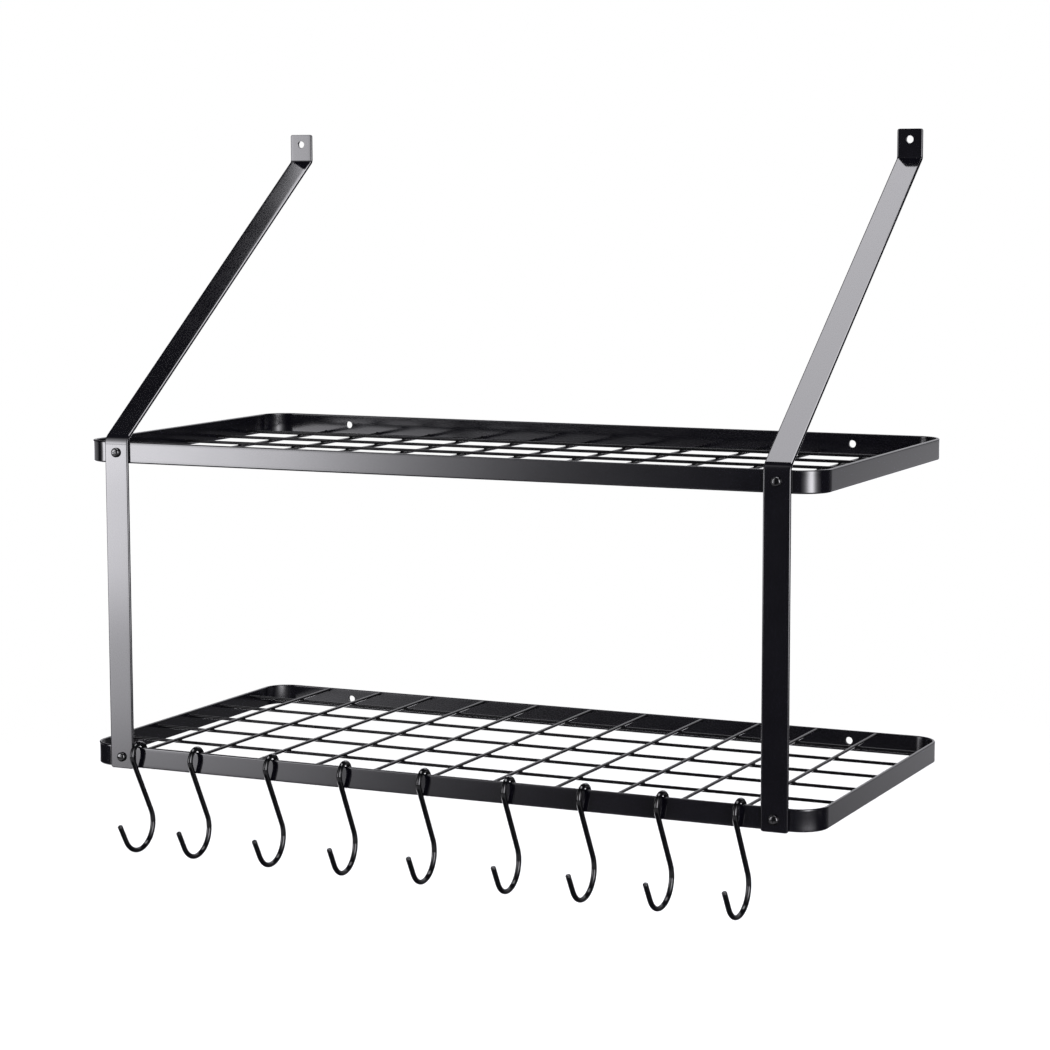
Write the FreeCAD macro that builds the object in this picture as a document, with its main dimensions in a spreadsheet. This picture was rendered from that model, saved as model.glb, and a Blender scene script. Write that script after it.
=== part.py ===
import FreeCAD, Part
import math
import os
import Sketcher

# Wall-mounted pot rack: two wire shelves held one above the other by two flat
# straps that run up the front and back to the wall, with loose S-shaped pot
# hooks hanging on the front rail of the lower shelf.
#
# Frame, in millimetres: X runs along the wall (to the right as seen from the
# room), Y points into the wall, Z is up. The wall is the plane Y = 0, and the
# origin is the centre of the four screw holes in the back rails.

V = FreeCAD.Vector
doc = FreeCAD.newDocument("pot_rack")

# ---------------------------------------------------------------- dimensions
SIZES = [
    ("shelf_width", 730.0, "outer length of a shelf rail along the wall"),
    ("shelf_depth", 356.0, "outer depth of a shelf, wall to front rail"),
    ("band_height", 20.0, "height of the flat bar of a shelf rail"),
    ("band_thick", 3.0, "thickness of that flat bar"),
    ("corner_radius", 26.0, "outer radius of the four rail corners"),
    ("shelf_pitch", 288.0, "lower rail mid height to upper rail mid height"),
    ("wall_hole_span", 546.0, "between the two wall holes of a back rail"),
    ("wall_hole_dia", 7.0, "wall screw hole in a back rail"),
    ("wire_dia", 3.0, "round wire of the shelf grid"),
    ("wire_inset", 1.6, "cross wire axis below its edge of the rail"),
    ("cross_count", 11.0, "cross wires in a shelf, front to back"),
    ("cross_pitch", 60.0, "between cross wires"),
    ("long_count", 5.0, "long wires in a shelf, side to side"),
    ("strap_width", 25.0, "width of a strap"),
    ("strap_thick", 3.0, "thickness of a strap"),
    ("strap_span", 652.0, "between the centre lines of the straps"),
    ("strap_foot", 1.0, "strap end below the lower rail"),
    ("strap_clear", 0.1, "lower bend starts this far above the upper rail"),
    ("strap_bend", 3.0, "inside radius of the strap bends"),
    ("tab_bend_z", 416.5, "height where the flat wall tab begins"),
    ("strap_top", 442.0, "top end of the wall tab"),
    ("tab_hole_z", 432.0, "height of the hole in the wall tab"),
    ("tab_hole_dia", 7.0, "wall screw hole in the tab"),
    ("strap_corner", 2.0, "rounding of the strap's end corners"),
    ("screw_hole_dia", 5.4, "clearance hole for an assembly screw"),
    ("screw_dia", 5.0, "assembly screw shank"),
    ("head_dia", 9.0, "pan head diameter"),
    ("head_height", 3.3, "pan head height"),
    ("head_rim", 1.3, "straight edge of the pan head"),
    ("recess_length", 4.6, "cross recess, tip to tip"),
    ("recess_width", 1.1, "cross recess, width of an arm"),
    ("recess_depth", 1.7, "cross recess depth"),
    ("screw_tail", 1.5, "screw end proud of its nut"),
    ("screw_chamfer", 0.5, "chamfer at the screw end"),
    ("nut_flats", 8.0, "hexagon nut across flats"),
    ("nut_height", 4.0, "hexagon nut height"),
    ("nut_bore", 5.05, "bore of the nut"),
    ("hook_rod", 5.0, "round rod of a pot hook"),
    ("hook_gap", 0.3, "loop to the top corners of the front rail"),
    ("hook_loop", 10.7, "centre line radius of the upper loop"),
    ("hook_tail", -20.0, "loop's free end, degrees from level"),
    ("hook_leg", 57.8, "straight leg between loop and bowl"),
    ("hook_leg_dir", -61.96, "leg direction, degrees from +Y"),
    ("hook_bowl", 23.3, "centre line radius of the lower bowl"),
    ("hook_tip", 19.6, "straight tip after the bowl"),
    ("hook_tip_dir", 120.14, "tip direction, degrees from +Y"),
    ("hook_end", 1.6, "rounding of the rod ends"),
    ("hook_x_1", -309.8, "hook places along the front rail"),
    ("hook_x_2", -247.0, "second hook"),
    ("hook_x_3", -166.5, "third hook"),
    ("hook_x_4", -89.9, "fourth hook"),
    ("hook_x_5", -9.0, "fifth hook"),
    ("hook_x_6", 75.3, "sixth hook"),
    ("hook_x_7", 148.3, "seventh hook"),
    ("hook_x_8", 221.6, "eighth hook"),
    ("hook_x_9", 293.5, "ninth hook"),
    ("hook_turn_1", -2.8, "hooks turned on the rail, degrees about Z"),
    ("hook_turn_2", -0.7, "second hook"),
    ("hook_turn_3", -0.3, "third hook"),
    ("hook_turn_4", 2.1, "fourth hook"),
    ("hook_turn_5", 0.8, "fifth hook"),
    ("hook_turn_6", -0.1, "sixth hook"),
    ("hook_turn_7", -1.8, "seventh hook"),
    ("hook_turn_8", -3.2, "eighth hook"),
    ("hook_turn_9", -2.4, "ninth hook"),
]
sheet = doc.addObject("Spreadsheet::Sheet", "Sizes")
for row, (alias, number, note) in enumerate(SIZES, 1):
    sheet.set("A%d" % row, "'" + alias)
    sheet.set("B%d" % row, repr(number))
    sheet.setAlias("B%d" % row, alias)
    sheet.set("C%d" % row, "'" + note)
doc.recompute()


def size(alias):
    return float(sheet.get(alias))


W = size("shelf_width")
D = size("shelf_depth")
BH = size("band_height")
BT = size("band_thick")
PITCH = size("shelf_pitch")

subparts = []


# ------------------------------------------------------------ sketch helpers
def plane(body, role):
    return next(f for f in body.Origin.OriginFeatures if f.Role == role)


def new_body(label):
    body = doc.addObject("PartDesign::Body", label)
    body.Label = label
    subparts.append(body)
    return body


def new_sketch(body, name, role, lift=None):
    sketch = body.newObject("Sketcher::SketchObject", name)
    sketch.AttachmentSupport = [(plane(body, role), "")]
    sketch.MapMode = "FlatFace"
    if lift:
        sketch.setExpression("AttachmentOffset.Base.z", lift)
    return sketch


def rule(sketch, *what):
    return sketch.addConstraint(Sketcher.Constraint(*what))


def dim(sketch, name, expression, *what):
    index = rule(sketch, *what)
    sketch.renameConstraint(index, name)
    sketch.setExpression("Constraints." + name, expression)


def line(sketch, a, b):
    return sketch.addGeometry(Part.LineSegment(V(a[0], a[1], 0), V(b[0], b[1], 0)), False)


def arc(sketch, centre, radius, start, end):
    circle = Part.Circle(V(centre[0], centre[1], 0), V(0, 0, 1), radius)
    return sketch.addGeometry(
        Part.ArcOfCircle(circle, math.radians(start), math.radians(end)), False)


def hole(sketch, name, x, z, diameter, x_expr, z_expr, dia_expr):
    c = sketch.addGeometry(Part.Circle(V(x, z, 0), V(0, 0, 1), diameter / 2), False)
    dim(sketch, name + "_dia", dia_expr, "Diameter", c, diameter)
    if x_expr is None:
        rule(sketch, "PointOnObject", c, 3, -2)
    elif x > 0:
        dim(sketch, name + "_x", x_expr, "DistanceX", -1, 1, c, 3, x)
    else:
        dim(sketch, name + "_x", x_expr, "DistanceX", c, 3, -1, 1, -x)
    if z > 0:
        dim(sketch, name + "_z", z_expr, "DistanceY", -1, 1, c, 3, z)
    else:
        dim(sketch, name + "_z", z_expr, "DistanceY", c, 3, -1, 1, -z)


def rounded_rectangle(sketch, tag, width, depth, radius, back, w_expr, d_expr, r_expr, b_expr):
    # Rectangle with four equal round corners, centred on X, its back side at
    # Y = -back.
    x = width / 2
    y1 = -back
    y0 = y1 - depth
    r = radius
    front = line(sketch, (-x + r, y0), (x - r, y0))
    c1 = arc(sketch, (x - r, y0 + r), r, -90, 0)
    right = line(sketch, (x, y0 + r), (x, y1 - r))
    c2 = arc(sketch, (x - r, y1 - r), r, 0, 90)
    rear = line(sketch, (x - r, y1), (-x + r, y1))
    c3 = arc(sketch, (-x + r, y1 - r), r, 90, 180)
    left = line(sketch, (-x, y1 - r), (-x, y0 + r))
    c4 = arc(sketch, (-x + r, y0 + r), r, 180, 270)
    run = [front, c1, right, c2, rear, c3, left, c4]
    for a, b in zip(run, run[1:] + run[:1]):
        rule(sketch, "Tangent", a, 2, b, 1)
    rule(sketch, "Horizontal", front)
    rule(sketch, "Vertical", right)
    rule(sketch, "Vertical", left)
    for c in (c2, c3, c4):
        rule(sketch, "Equal", c1, c)
    rule(sketch, "Symmetric", rear, 1, rear, 2, -2)
    dim(sketch, tag + "_radius", r_expr, "Radius", c1, r)
    dim(sketch, tag + "_width", w_expr, "DistanceX", left, 1, right, 1, width)
    dim(sketch, tag + "_depth", d_expr, "DistanceY", front, 1, rear, 1, depth)
    if b_expr is None:
        rule(sketch, "PointOnObject", rear, 1, -1)
    else:
        dim(sketch, tag + "_back", b_expr, "DistanceY", rear, 1, -1, 1, back)


# -------------------------------------------------------------- shelf rails
# Each shelf is framed by one hoop of flat bar standing on edge. The back run
# has two holes for wall screws, the front run two for the strap screws.
def shelf_frame(label, z_expr):
    body = new_body(label)
    plan = new_sketch(body, label + "_plan", "XY_Plane")
    rounded_rectangle(plan, "outer", W, D, size("corner_radius"), 0.0,
                      "Sizes.shelf_width", "Sizes.shelf_depth", "Sizes.corner_radius", None)
    rounded_rectangle(plan, "inner", W - 2 * BT, D - 2 * BT, size("corner_radius") - BT, BT,
                      "Sizes.shelf_width - 2 * Sizes.band_thick",
                      "Sizes.shelf_depth - 2 * Sizes.band_thick",
                      "Sizes.corner_radius - Sizes.band_thick", "Sizes.band_thick")
    pad = body.newObject("PartDesign::Pad", label + "_bar")
    pad.Profile = plan
    pad.setExpression("Length", "Sizes.band_height")
    doc.recompute()
    before = pad.Shape.Volume

    wall = new_sketch(body, label + "_wall_holes", "XZ_Plane")
    for name, sign in (("left", -1), ("right", 1)):
        hole(wall, name, sign * size("wall_hole_span") / 2, BH / 2, size("wall_hole_dia"),
             "Sizes.wall_hole_span / 2", "Sizes.band_height / 2", "Sizes.wall_hole_dia")
    drill = body.newObject("PartDesign::Pocket", label + "_wall_drill")
    drill.Profile = wall
    drill.Reversed = True
    drill.setExpression("Length", "Sizes.band_thick + 2")
    doc.recompute()
    cut_one = before - drill.Shape.Volume

    front = new_sketch(body, label + "_strap_holes", "XZ_Plane", "Sizes.shelf_depth")
    for name, sign in (("left", -1), ("right", 1)):
        hole(front, name, sign * size("strap_span") / 2, BH / 2, size("screw_hole_dia"),
             "Sizes.strap_span / 2", "Sizes.band_height / 2", "Sizes.screw_hole_dia")
    drill_two = body.newObject("PartDesign::Pocket", label + "_strap_drill")
    drill_two.Profile = front
    drill_two.setExpression("Length", "Sizes.band_thick + 2")
    body.setExpression("Placement.Base.z", z_expr)
    doc.recompute()
    cut_two = before - cut_one - drill_two.Shape.Volume
    want_one = 2 * math.pi * (size("wall_hole_dia") / 2) ** 2 * BT
    want_two = 2 * math.pi * (size("screw_hole_dia") / 2) ** 2 * BT
    if abs(cut_one - want_one) > 1 or abs(cut_two - want_two) > 1:
        raise RuntimeError("%s: holes not cut, %.1f and %.1f" % (label, cut_one, cut_two))
    return body


shelf_frame("lower_shelf_frame", "-Sizes.shelf_pitch / 2 - Sizes.band_height / 2")
shelf_frame("upper_shelf_frame", "Sizes.shelf_pitch / 2 - Sizes.band_height / 2")


# --------------------------------------------------------------- shelf grid
# Cross wires run front to back and lie flush with one edge of the rail; the
# long wires lie against them on the inner side. The two shelves are the same
# part: the lower has its grid at the top, the upper is turned over and has
# its grid at the bottom.
def wire(label, turn, length_expr, x_expr, y_expr, z_expr):
    rod = doc.addObject("Part::Cylinder", label)
    rod.Label = label
    rod.Placement = FreeCAD.Placement(V(0, 0, 0), turn)
    rod.setExpression("Radius", "Sizes.wire_dia / 2")
    rod.setExpression("Height", length_expr)
    rod.setExpression("Placement.Base.x", x_expr)
    rod.setExpression("Placement.Base.y", y_expr)
    rod.setExpression("Placement.Base.z", z_expr)
    subparts.append(rod)


to_room = FreeCAD.Rotation(V(1, 0, 0), 90)     # cylinder axis from the wall to the room
to_right = FreeCAD.Rotation(V(0, 1, 0), 90)    # cylinder axis along +X
rim = "(Sizes.shelf_pitch / 2 - Sizes.band_height / 2 + Sizes.wire_inset)"
for shelf, sign in (("lower", "-"), ("upper", "")):
    for i in range(1, int(size("cross_count")) + 1):
        wire("%s_cross_wire_%02d" % (shelf, i), to_room,
             "Sizes.shelf_depth - 2 * Sizes.band_thick",
             "(%d - (Sizes.cross_count + 1) / 2) * Sizes.cross_pitch" % i,
             "-Sizes.band_thick",
             sign + rim)
    for k in range(1, int(size("long_count")) + 1):
        wire("%s_long_wire_%d" % (shelf, k), to_right,
             "Sizes.shelf_width - 2 * Sizes.band_thick",
             "-Sizes.shelf_width / 2 + Sizes.band_thick",
             "-Sizes.shelf_depth + Sizes.shelf_depth * %d / (Sizes.long_count + 1)" % k,
             "%s(%s + Sizes.wire_dia)" % (sign, rim))


# ------------------------------------------------------------------- straps
# Flat bar bent twice: upright across both front rails, then slanting back
# over the upper shelf, then upright again as a tab against the wall.
def strap(label, x_expr):
    body = new_body(label)
    side = new_sketch(body, label + "_side", "YZ_Plane")
    t = size("strap_thick")
    rb = size("strap_bend")
    foot = -PITCH / 2 - BH / 2 - size("strap_foot")
    z1 = PITCH / 2 + BH / 2 + size("strap_clear")
    z2 = size("tab_bend_z")
    top = size("strap_top")
    c1 = V(-D + rb, z1, 0)
    c2 = V(-t - rb, z2, 0)
    d = c2 - c1
    lean = math.atan2(d.x, d.y) + math.asin((2 * rb + t) / math.hypot(d.x, d.y))
    n = V(-math.cos(lean), math.sin(lean), 0)
    a = math.degrees(math.atan2(n.y, n.x))
    p1, p2 = c1 + n * rb, c2 - n * (rb + t)
    q1, q2 = c1 + n * (rb + t), c2 - n * rb
    l0 = line(side, (-D - t, foot), (-D, foot))
    l1 = line(side, (-D, foot), (-D, z1))
    a1 = arc(side, (c1.x, c1.y), rb, a, 180)
    l2 = line(side, (p1.x, p1.y), (p2.x, p2.y))
    a2 = arc(side, (c2.x, c2.y), rb + t, a + 180, 360)
    l3 = line(side, (0, z2), (0, top))
    l4 = line(side, (0, top), (-t, top))
    l5 = line(side, (-t, top), (-t, z2))
    a3 = arc(side, (c2.x, c2.y), rb, a + 180, 360)
    l6 = line(side, (q2.x, q2.y), (q1.x, q1.y))
    a4 = arc(side, (c1.x, c1.y), rb + t, a, 180)
    l7 = line(side, (-D - t, z1), (-D - t, foot))
    for first, fe, second, se in ((l1, 2, a1, 2), (a1, 1, l2, 1), (l2, 2, a2, 1), (a2, 2, l3, 1),
                                  (l5, 2, a3, 2), (a3, 1, l6, 1), (l6, 2, a4, 1), (a4, 2, l7, 1)):
        rule(side, "Tangent", first, fe, second, se)
    for first, fe, second, se in ((l0, 2, l1, 1), (l3, 2, l4, 1), (l4, 2, l5, 1), (l7, 2, l0, 1)):
        rule(side, "Coincident", first, fe, second, se)
    rule(side, "Coincident", a1, 3, a4, 3)
    rule(side, "Coincident", a2, 3, a3, 3)
    rule(side, "Horizontal", l0)
    rule(side, "Horizontal", l4)
    for upright in (l1, l3, l5, l7):
        rule(side, "Vertical", upright)
    rule(side, "PointOnObject", l3, 1, -2)
    dim(side, "bend_low", "Sizes.strap_bend", "Radius", a1, rb)
    dim(side, "bend_high", "Sizes.strap_bend", "Radius", a3, rb)
    dim(side, "thick_low", "Sizes.strap_thick", "DistanceX", l0, 1, l0, 2, t)
    dim(side, "thick_high", "Sizes.strap_thick", "DistanceX", l4, 2, l4, 1, t)
    dim(side, "front", "Sizes.shelf_depth", "DistanceX", l1, 1, -1, 1, D)
    dim(side, "foot", "Sizes.shelf_pitch / 2 + Sizes.band_height / 2 + Sizes.strap_foot",
        "DistanceY", l0, 1, -1, 1, -foot)
    dim(side, "top", "Sizes.strap_top", "DistanceY", -1, 1, l4, 1, top)
    dim(side, "bend_low_z", "Sizes.shelf_pitch / 2 + Sizes.band_height / 2 + Sizes.strap_clear",
        "DistanceY", -1, 1, a1, 3, z1)
    dim(side, "bend_high_z", "Sizes.tab_bend_z", "DistanceY", -1, 1, a2, 3, z2)
    pad = body.newObject("PartDesign::Pad", label + "_bar")
    pad.Profile = side
    pad.SideType = "Symmetric"
    pad.setExpression("Length", "Sizes.strap_width")
    doc.recompute()
    before = pad.Shape.Volume

    face = new_sketch(body, label + "_holes", "XZ_Plane", "Sizes.shelf_depth + Sizes.strap_thick")
    hole(face, "lower", 0, -PITCH / 2, size("screw_hole_dia"),
         None, "Sizes.shelf_pitch / 2", "Sizes.screw_hole_dia")
    hole(face, "upper", 0, PITCH / 2, size("screw_hole_dia"),
         None, "Sizes.shelf_pitch / 2", "Sizes.screw_hole_dia")
    hole(face, "wall", 0, size("tab_hole_z"), size("tab_hole_dia"),
         None, "Sizes.tab_hole_z", "Sizes.tab_hole_dia")
    drill = body.newObject("PartDesign::Pocket", label + "_drill")
    drill.Profile = face
    drill.Type = "ThroughAll"
    doc.recompute()
    cut = before - drill.Shape.Volume
    want = math.pi / 4 * t * (2 * size("screw_hole_dia") ** 2 + size("tab_hole_dia") ** 2)
    if abs(cut - want) > 1:
        raise RuntimeError("%s: holes not cut, %.1f" % (label, cut))

    ends = []
    for index, edge in enumerate(drill.Shape.Edges, 1):
        a, b = edge.Vertexes[0].Point, edge.Vertexes[-1].Point
        at_corner = abs(abs(a.x) - size("strap_width") / 2) < 0.01
        if at_corner and abs((b - a).y) > t - 0.01 and (b - a).Length < t + 0.01:
            ends.append("Edge%d" % index)
    rounding = body.newObject("PartDesign::Fillet", label + "_corners")
    rounding.Base = (drill, ends)
    rounding.setExpression("Radius", "Sizes.strap_corner")
    body.setExpression("Placement.Base.x", x_expr)
    doc.recompute()
    if len(ends) != 4 or not rounding.Shape.Volume < drill.Shape.Volume:
        raise RuntimeError("%s: end corners not rounded" % label)


strap("left_strap", "-Sizes.strap_span / 2")
strap("right_strap", "Sizes.strap_span / 2")


# ---------------------------------------------------------- screws and nuts
# A pan-head machine screw with a cross recess goes through each strap and
# the rail behind it, into a hexagon nut inside the rail.
def screw(label, x_expr, z_expr):
    body = new_body(label)
    half = new_sketch(body, label + "_profile", "XZ_Plane")
    r = size("screw_dia") / 2
    rh = size("head_dia") / 2
    hh = size("head_height")
    rim_h = size("head_rim")
    ch = size("screw_chamfer")
    reach = size("strap_thick") + BT + size("nut_height") + size("screw_tail")
    crown = (rh ** 2 + rim_h ** 2 - hh ** 2) / (2 * (rim_h - hh))
    b0 = line(half, (0, -reach), (r - ch, -reach))
    b1 = line(half, (r - ch, -reach), (r, -reach + ch))
    b2 = line(half, (r, -reach + ch), (r, 0))
    b3 = line(half, (r, 0), (rh, 0))
    b4 = line(half, (rh, 0), (rh, rim_h))
    b5 = arc(half, (0, crown), hh - crown, math.degrees(math.atan2(rim_h - crown, rh)), 90)
    b6 = line(half, (0, hh), (0, -reach))
    for first, fe, second, se in ((b0, 2, b1, 1), (b1, 2, b2, 1), (b2, 2, b3, 1), (b3, 2, b4, 1),
                                  (b4, 2, b5, 1), (b5, 2, b6, 1), (b6, 2, b0, 1)):
        rule(half, "Coincident", first, fe, second, se)
    rule(half, "Horizontal", b0)
    rule(half, "Vertical", b2)
    rule(half, "Vertical", b4)
    rule(half, "PointOnObject", b3, 1, -1)
    rule(half, "PointOnObject", b3, 2, -1)
    rule(half, "PointOnObject", b6, 1, -2)
    rule(half, "PointOnObject", b6, 2, -2)
    rule(half, "PointOnObject", b5, 3, -2)
    dim(half, "shank", "Sizes.screw_dia / 2", "DistanceX", -1, 1, b2, 1, r)
    dim(half, "head", "Sizes.head_dia / 2", "DistanceX", -1, 1, b4, 1, rh)
    dim(half, "rim", "Sizes.head_rim", "DistanceY", -1, 1, b4, 2, rim_h)
    dim(half, "crown", "Sizes.head_height", "DistanceY", -1, 1, b6, 1, hh)
    dim(half, "reach", "Sizes.strap_thick + Sizes.band_thick + Sizes.nut_height + Sizes.screw_tail",
        "DistanceY", b0, 1, -1, 1, reach)
    dim(half, "bevel_x", "Sizes.screw_chamfer", "DistanceX", b1, 1, b1, 2, ch)
    dim(half, "bevel_z", "Sizes.screw_chamfer", "DistanceY", b1, 1, b1, 2, ch)
    turn = body.newObject("PartDesign::Revolution", label + "_blank")
    turn.Profile = half
    turn.ReferenceAxis = (half, ["V_Axis"])
    turn.Angle = 360
    doc.recompute()
    before = turn.Shape.Volume
    tip = turn
    for name, along_x in (("a", True), ("b", False)):
        slot = new_sketch(body, label + "_recess_" + name, "XY_Plane", "Sizes.head_height")
        lx = size("recess_length" if along_x else "recess_width") / 2
        ly = size("recess_width" if along_x else "recess_length") / 2
        s = [line(slot, (-lx, -ly), (lx, -ly)), line(slot, (lx, -ly), (lx, ly)),
             line(slot, (lx, ly), (-lx, ly)), line(slot, (-lx, ly), (-lx, -ly))]
        for first, second in zip(s, s[1:] + s[:1]):
            rule(slot, "Coincident", first, 2, second, 1)
        rule(slot, "Horizontal", s[0])
        rule(slot, "Horizontal", s[2])
        rule(slot, "Vertical", s[1])
        rule(slot, "Vertical", s[3])
        rule(slot, "Symmetric", s[0], 1, s[1], 2, -1, 1)
        dim(slot, "across", "Sizes.recess_length" if along_x else "Sizes.recess_width",
            "DistanceX", s[0], 1, s[0], 2, 2 * lx)
        dim(slot, "along", "Sizes.recess_width" if along_x else "Sizes.recess_length",
            "DistanceY", s[1], 1, s[1], 2, 2 * ly)
        tip = body.newObject("PartDesign::Pocket", label + "_recess_cut_" + name)
        tip.Profile = slot
        tip.setExpression("Length", "Sizes.recess_depth")
        doc.recompute()
        if not tip.Shape.Volume < before - 1:
            raise RuntimeError("%s: recess not cut" % label)
        before = tip.Shape.Volume
    body.Placement = FreeCAD.Placement(V(0, 0, 0), to_room)
    body.setExpression("Placement.Base.x", x_expr)
    body.setExpression("Placement.Base.y", "-Sizes.shelf_depth - Sizes.strap_thick")
    body.setExpression("Placement.Base.z", z_expr)


def nut(label, x_expr, z_expr):
    block = doc.addObject("Part::Prism", label + "_block")
    block.Polygon = 6
    block.setExpression("Circumradius", "Sizes.nut_flats / 2 / cos(30 deg)")
    block.setExpression("Height", "Sizes.nut_height")
    bevel = doc.addObject("Part::Cone", label + "_bevel")
    bevel.setExpression("Radius1", "Sizes.nut_flats / 2 + 0.35 + Sizes.nut_height * 1.2")
    bevel.setExpression("Radius2", "Sizes.nut_flats / 2 - 0.1")
    bevel.setExpression("Height", "Sizes.nut_height")
    turned = doc.addObject("Part::Common", label + "_turned")
    turned.Base = block
    turned.Tool = bevel
    bore = doc.addObject("Part::Cylinder", label + "_bore")
    bore.setExpression("Radius", "Sizes.nut_bore / 2")
    bore.setExpression("Height", "Sizes.nut_height + 2")
    bore.Placement.Base.z = -1
    piece = doc.addObject("Part::Cut", label)
    piece.Label = label
    piece.Base = turned
    piece.Tool = bore
    piece.Placement = FreeCAD.Placement(V(0, 0, 0), FreeCAD.Rotation(V(1, 0, 0), -90))
    piece.setExpression("Placement.Base.x", x_expr)
    piece.setExpression("Placement.Base.y", "-Sizes.shelf_depth + Sizes.band_thick")
    piece.setExpression("Placement.Base.z", z_expr)
    subparts.append(piece)


for side_name, x_sign in (("left", "-"), ("right", "")):
    for level, z_sign in (("lower", "-"), ("upper", "")):
        x_place = x_sign + "Sizes.strap_span / 2"
        z_place = z_sign + "Sizes.shelf_pitch / 2"
        screw("%s_%s_screw" % (level, side_name), x_place, z_place)
        nut("%s_%s_nut" % (level, side_name), x_place, z_place)


# -------------------------------------------------------------------- hooks
# Each pot hook is one bent rod: a loop over the lower front rail, a straight
# leg that leans back under it and a bowl that turns up to the front. The
# loop's centre is the axis the hook swings about, and the hook hangs with its
# centre of mass straight below that axis. The hooks sit loose, so each is
# turned a little on the rail.
def pot_hook(label, x_expr, turn_expr):
    body = new_body(label)
    r = size("hook_loop")
    tail = size("hook_tail")
    leg = size("hook_leg")
    leg_dir = math.radians(size("hook_leg_dir"))
    rb = size("hook_bowl")
    tip_dir = math.radians(size("hook_tip_dir"))
    tip = size("hook_tip")
    rod = size("hook_rod")
    u = V(math.cos(leg_dir), math.sin(leg_dir), 0)
    out = V(u.y, -u.x, 0)                      # from the loop's centre to the leg
    w = V(math.cos(tip_dir), math.sin(tip_dir), 0)
    start = V(r * math.cos(math.radians(tail)), r * math.sin(math.radians(tail)), 0)
    e1 = out * r
    e2 = e1 + u * leg
    bowl = e2 + out * rb
    e3 = bowl + V(-w.y, w.x, 0) * rb
    e4 = e3 + w * tip
    line_of = new_sketch(body, label + "_line", "YZ_Plane")
    g1 = arc(line_of, (0, 0), r, tail, math.degrees(math.atan2(out.y, out.x)) % 360)
    g2 = line(line_of, (e1.x, e1.y), (e2.x, e2.y))
    a_from = math.degrees(math.atan2(e3.y - bowl.y, e3.x - bowl.x))
    a_to = math.degrees(math.atan2(e2.y - bowl.y, e2.x - bowl.x))
    g3 = arc(line_of, (bowl.x, bowl.y), rb, a_from, a_to if a_to > a_from else a_to + 360)
    g4 = line(line_of, (e3.x, e3.y), (e4.x, e4.y))
    rule(line_of, "Coincident", g1, 3, -1, 1)
    rule(line_of, "Tangent", g1, 2, g2, 1)
    rule(line_of, "Tangent", g2, 2, g3, 2)
    rule(line_of, "Tangent", g3, 1, g4, 1)
    dim(line_of, "loop", "Sizes.hook_loop", "Radius", g1, r)
    dim(line_of, "tail", "-Sizes.hook_loop * sin(Sizes.hook_tail * 1 deg)",
        "DistanceY", g1, 1, -1, 1, -start.y)
    dim(line_of, "leg", "Sizes.hook_leg", "Distance", g2, leg)
    dim(line_of, "leg_lean", "Sizes.hook_leg_dir * 1 deg", "Angle", g2, leg_dir)
    dim(line_of, "bowl", "Sizes.hook_bowl", "Radius", g3, rb)
    dim(line_of, "tip", "Sizes.hook_tip", "Distance", g4, tip)
    dim(line_of, "tip_lean", "Sizes.hook_tip_dir * 1 deg", "Angle", g4, tip_dir)
    doc.recompute()
    section = body.newObject("Sketcher::SketchObject", label + "_section")
    section.AttachmentSupport = [(line_of, "Edge1")]
    section.MapMode = "NormalToEdge"
    section.MapPathParameter = 0.0
    c = section.addGeometry(Part.Circle(V(0, 0, 0), V(0, 0, 1), rod / 2), False)
    rule(section, "Coincident", c, 3, -1, 1)
    dim(section, "rod", "Sizes.hook_rod", "Diameter", c, rod)
    doc.recompute()
    bend = body.newObject("PartDesign::AdditivePipe", label + "_rod")
    bend.Profile = section
    bend.Spine = (line_of, ["Edge1", "Edge2", "Edge3", "Edge4"])
    doc.recompute()
    length = line_of.Shape.Length
    want = length * math.pi * rod ** 2 / 4
    if abs(bend.Shape.Volume - want) > 0.01 * want:
        raise RuntimeError("%s: rod volume %.1f, expected %.1f" % (label, bend.Shape.Volume, want))
    tips = []
    for index, edge in enumerate(bend.Shape.Edges, 1):
        if edge.isClosed() and edge.Length > 1:
            m = edge.CenterOfMass
            for e in (start, e4):
                if (m - V(0, e.x, e.y)).Length < 0.05:
                    tips.append("Edge%d" % index)
    rounding = body.newObject("PartDesign::Fillet", label + "_ends")
    rounding.Base = (bend, tips)
    rounding.setExpression("Radius", "Sizes.hook_end")
    body.Placement = FreeCAD.Placement(V(0, 0, 0), FreeCAD.Rotation(V(0, 0, 1), 10))
    body.setExpression("Placement.Rotation.Angle", turn_expr)
    body.setExpression("Placement.Base.x", x_expr)
    body.setExpression("Placement.Base.y", "-Sizes.shelf_depth + Sizes.band_thick / 2")
    body.setExpression(
        "Placement.Base.z",
        "-Sizes.shelf_pitch / 2 + Sizes.band_height / 2"
        " - sqrt((Sizes.hook_loop - Sizes.hook_rod / 2 - Sizes.hook_gap)^2"
        " - (Sizes.band_thick / 2)^2)")
    doc.recompute()
    if len(tips) != 2 or not rounding.Shape.Volume < bend.Shape.Volume:
        raise RuntimeError("%s: rod ends not rounded, %s" % (label, tips))
    turned = body.Placement.Rotation.multVec(V(0, 1, 0))
    lean = math.degrees(math.atan2(-turned.x, turned.y))
    if abs(lean - size(turn_expr.split(".")[1])) > 0.001:
        raise RuntimeError("%s: turned %.3f degrees" % (label, lean))


for i in range(1, 10):
    pot_hook("pot_hook_%d" % i, "Sizes.hook_x_%d" % i, "Sizes.hook_turn_%d" % i)

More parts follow.
